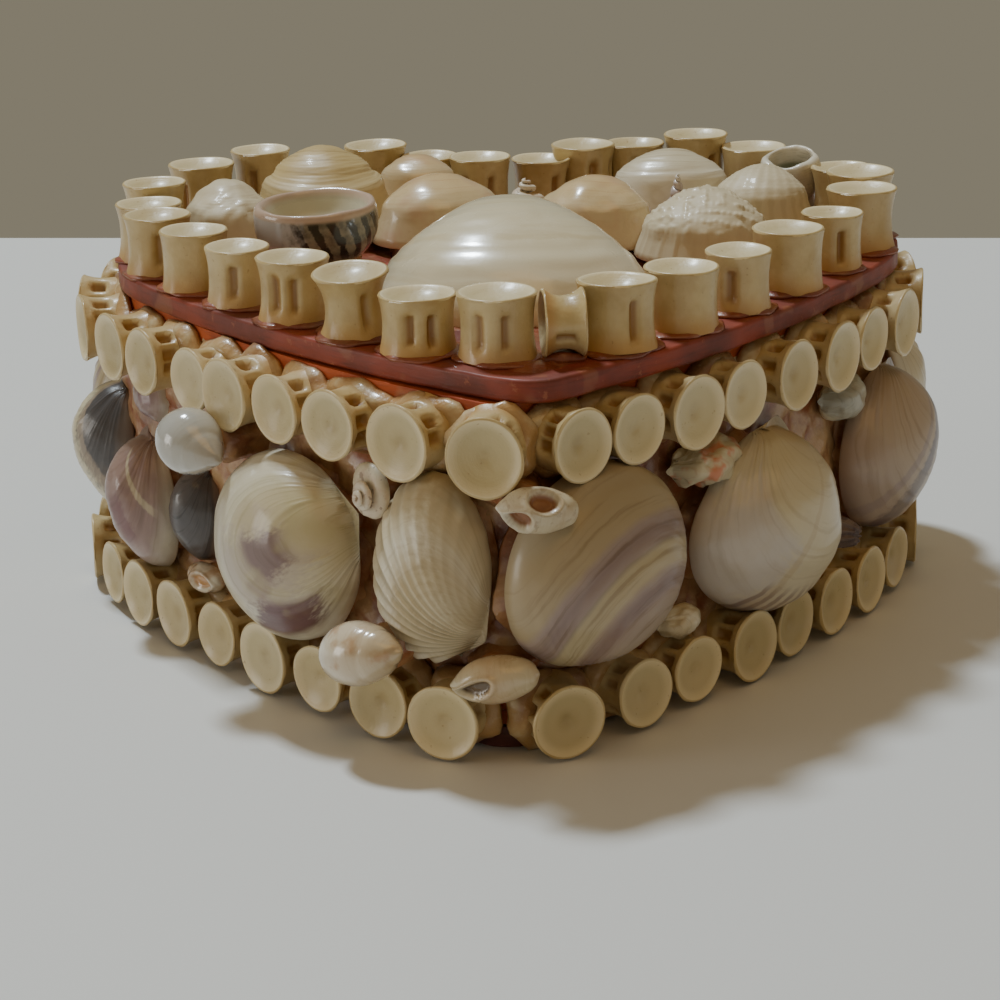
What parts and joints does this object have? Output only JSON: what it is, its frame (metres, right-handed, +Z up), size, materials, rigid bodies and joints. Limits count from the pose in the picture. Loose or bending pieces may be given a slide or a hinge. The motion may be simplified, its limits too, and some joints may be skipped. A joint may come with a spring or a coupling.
{
  "type": "shell box",
  "caption": "Heart-shaped hollow wooden box with a loose lid, faced all over with glued sea shells between rows of fish vertebrae",
  "frame": {"origin": "middle of the underside, the face that it stands on", "axes": "+X is the box's width, -Y looks out of the heart's point, +Z is up"},
  "size_m": [0.1495, 0.147, 0.0739],
  "materials": {
    "board": "thin board stained deep red-brown, satin",
    "orange_board": "thin board stained bright orange, satin, with dried glue",
    "bone": "ivory fish bone, semi-gloss, amber in its hollows",
    "cream_shell": "cream sea shell, satin, with purple-brown bands on some",
    "ivory_shell": "ivory sea shell, glossy",
    "tan_shell": "tan sea shell, satin, with mauve growth bands",
    "mauve_shell": "mauve-brown sea shell with cream streaks, satin",
    "slate_shell": "dark slate sea shell with a cream edge, satin",
    "peach_shell": "peach sea shell, glossy",
    "pearl_snail": "pearl-white snail shell, high gloss",
    "zebra_snail": "black and cream striped snail shell, high gloss",
    "coral": "off-white rough coral and snail bits, matt, orange-red specks"
  },
  "bodies": {
    "root": {"floor_board": "board", "lid_board": "board", "wall": "orange_board", "bottom_vertebrae_right": "bone", "bottom_vertebrae_left": "bone", "bottom_vertebrae_right_lobe": "bone", "bottom_vertebrae_left_lobe": "bone", "top_vertebrae_right": "bone", "top_vertebrae_left": "bone", "top_vertebrae_right_lobe": "bone", "top_vertebrae_left_lobe": "bone", "lid_vertebrae_right": "bone", "lid_vertebrae_left": "bone", "lid_vertebrae_right_lobe": "bone", "lid_vertebrae_left_lobe": "bone", "lid_vertebra_on_its_side": "bone", "cockle": "cream_shell", "cream_banded_clam": "cream_shell", "slate_clam": "slate_shell", "pearl_snail": "pearl_snail", "mauve_clam": "mauve_shell", "taupe_clam": "tan_shell", "beige_snail": "peach_shell", "far_left_clam": "slate_shell", "speckled_snail": "coral", "mottled_snail": "peach_shell", "slit_shell": "cream_shell", "olive_shell": "peach_shell", "tan_banded_clam": "tan_shell", "coral_piece": "coral", "white_clam": "cream_shell", "grey_clam": "tan_shell", "beige_clam": "cream_shell", "barnacle": "coral", "ray_clam": "mauve_shell", "right_lobe_clam_1": "cream_shell", "right_lobe_clam_2": "tan_shell", "right_lobe_cockle": "cream_shell", "left_lobe_clam_1": "tan_shell", "left_lobe_clam_2": "cream_shell", "left_lobe_cockle": "cream_shell", "notch_snail_low": "peach_shell", "notch_snail_high": "coral", "lid_ivory_clam": "ivory_shell", "lid_zebra_nerite": "zebra_snail", "lid_tan_clam": "tan_shell", "lid_rough_clam": "cream_shell", "lid_orange_clam": "peach_shell", "lid_peach_clam": "peach_shell", "lid_small_snail": "coral", "lid_orange_peach_clam": "peach_shell", "lid_peach_snail": "peach_shell", "lid_grey_white_clam": "cream_shell", "lid_purple_snail": "mauve_shell", "lid_bumpy_clam": "cream_shell", "lid_beige_clam": "tan_shell", "lid_cup": "cream_shell"}
  },
  "joints": []
}
